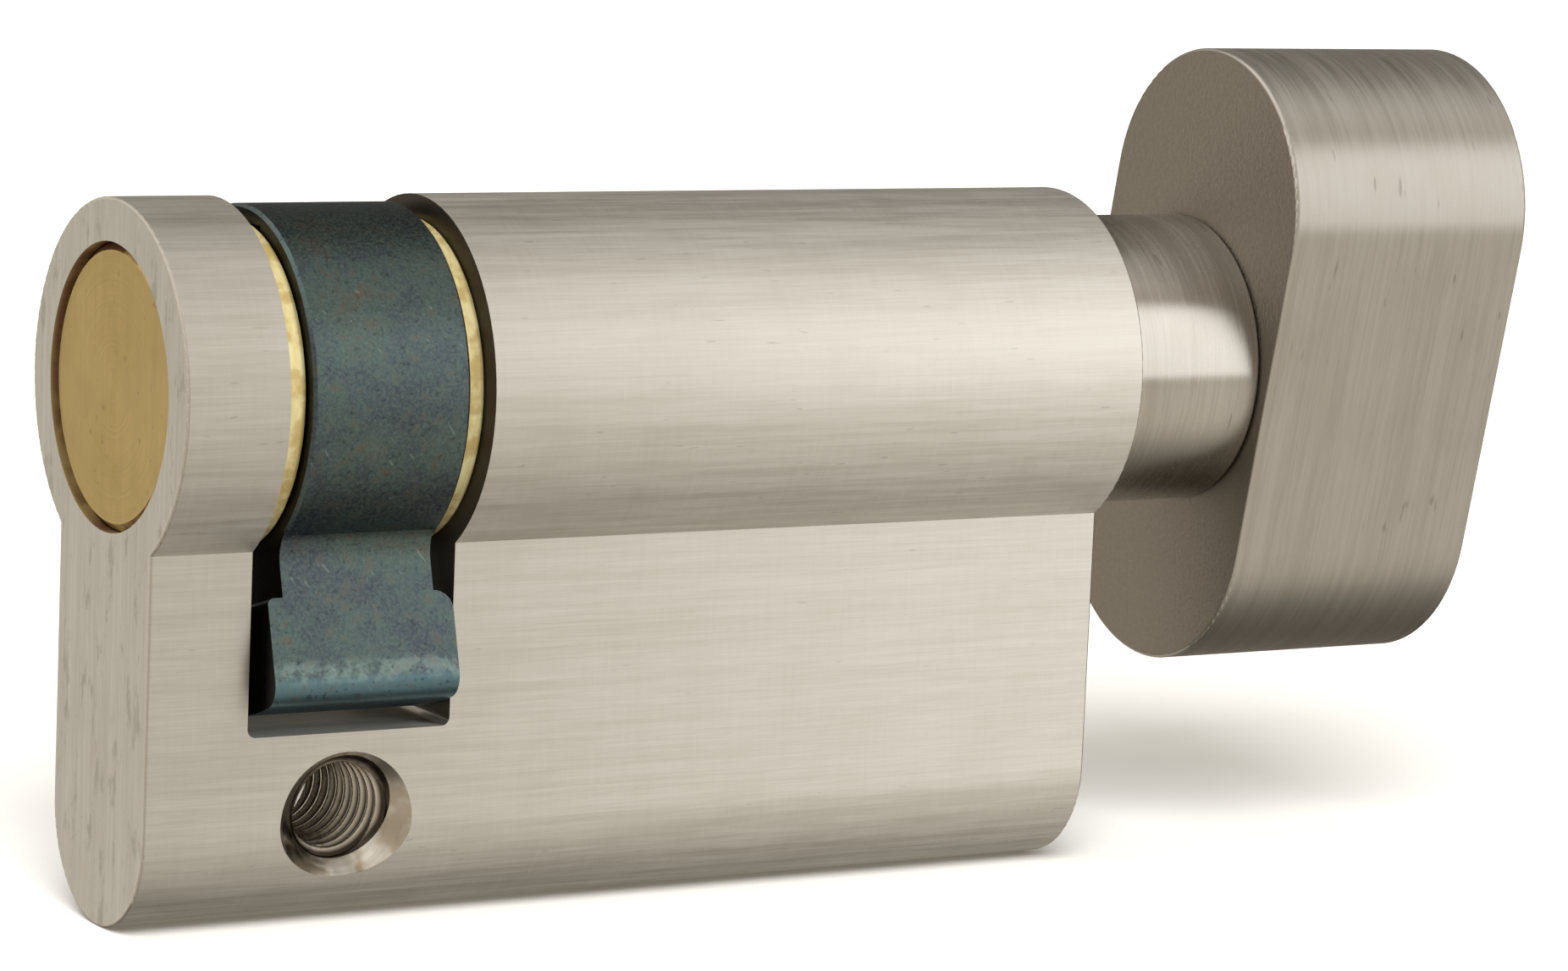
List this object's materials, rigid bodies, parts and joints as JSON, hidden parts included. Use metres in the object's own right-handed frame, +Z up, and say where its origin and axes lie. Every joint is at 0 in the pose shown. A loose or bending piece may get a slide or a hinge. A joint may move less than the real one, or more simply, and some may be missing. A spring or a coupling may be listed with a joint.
{
  "type": "euro cylinder",
  "caption": "Half euro-profile lock cylinder with a thumbturn: satin nickel body, blank short side, blued steel cam and an oval turn on a round neck.",
  "frame": {"origin": "centre of the M5 fixing-screw hole, on the mid-plane of the web, 18.9 mm below the cylinder axis and 0.6 mm above the centre of the rounded foot", "axes": "+X along the cylinder axis towards the thumbturn, +Z up from the web to the cylinder, -Y the side the cam leans to at rest"},
  "size_m": [0.0718, 0.019, 0.04],
  "materials": {
    "satin_nickel": "satin nickel plating over brass, brushed along the cylinder, warm grey",
    "brass": "raw machined brass, lightly satin",
    "blued_steel": "blued sintered steel, dark blue-green, mottled",
    "hard_steel": "plain hardened steel, lightly oiled"
  },
  "bodies": {
    "housing": {"cylinder_body": "satin_nickel", "brake_ball": "hard_steel", "brake_spring": "hard_steel", "chamber_plug": "brass"},
    "turn_group": {"blank_plug": "brass", "blank_plug_clip": "brass", "cam": "blued_steel", "cam_driver": "hard_steel", "spindle_clip": "brass", "turn_spindle": "brass", "turn_collar": "satin_nickel", "thumbturn_knob": "satin_nickel", "knob_grub_screw": "hard_steel"}
  },
  "joints": [
    {"name": "turn", "type": "hinge", "parent": "housing", "child": "turn_group", "pos_m": [0, 0, 0.0189], "axis": [1, 0, 0], "continuous": true}
  ]
}
